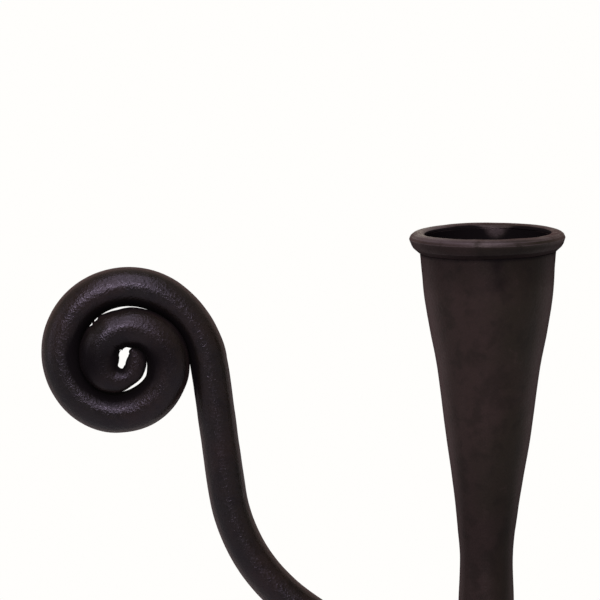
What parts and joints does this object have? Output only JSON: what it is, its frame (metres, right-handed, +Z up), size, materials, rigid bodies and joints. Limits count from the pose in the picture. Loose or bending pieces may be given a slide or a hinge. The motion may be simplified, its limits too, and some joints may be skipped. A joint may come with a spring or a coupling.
{
  "type": "torchere candle stand",
  "caption": "Tall round-bar iron torchere candle stand with a flared candle cup, one forged scroll arm beside it and a banded tripod of scroll legs.",
  "frame": {"origin": "on the floor, under the pole's axis and the middle of the whole stand's footprint", "axes": "+Z up along the pole, -X towards the scroll arm, +X towards leg 1"},
  "size_m": [0.3309, 0.2884, 1.06],
  "materials": {
    "cup_finish": "satin brown-black, faintly mottled, over forged iron",
    "bar_finish": "satin brown-black with a fine sandy grain, over forged bar",
    "inner_steel": "turned, unpainted",
    "glide_rubber": "matte black"
  },
  "bodies": {
    "root": {"candle_cup": "cup_finish", "cup_rim": "cup_finish", "candle_seat": "cup_finish", "neck_spigot": "inner_steel", "scroll_arm": "bar_finish", "arm_collar": "bar_finish", "arm_washer": "bar_finish", "upper_pole": "bar_finish", "upper_insert": "inner_steel", "joint_stud": "inner_steel", "joint_knop": "bar_finish", "lower_insert": "inner_steel", "lower_pole": "bar_finish", "pole_drop": "bar_finish", "upper_leg_band": "bar_finish", "lower_leg_band": "bar_finish", "leg_1": "bar_finish", "leg_2": "bar_finish", "leg_3": "bar_finish", "foot_glide_1": "glide_rubber", "foot_glide_2": "glide_rubber", "foot_glide_3": "glide_rubber", "glide_stud_1": "inner_steel", "glide_stud_2": "inner_steel", "glide_stud_3": "inner_steel"}
  },
  "joints": []
}
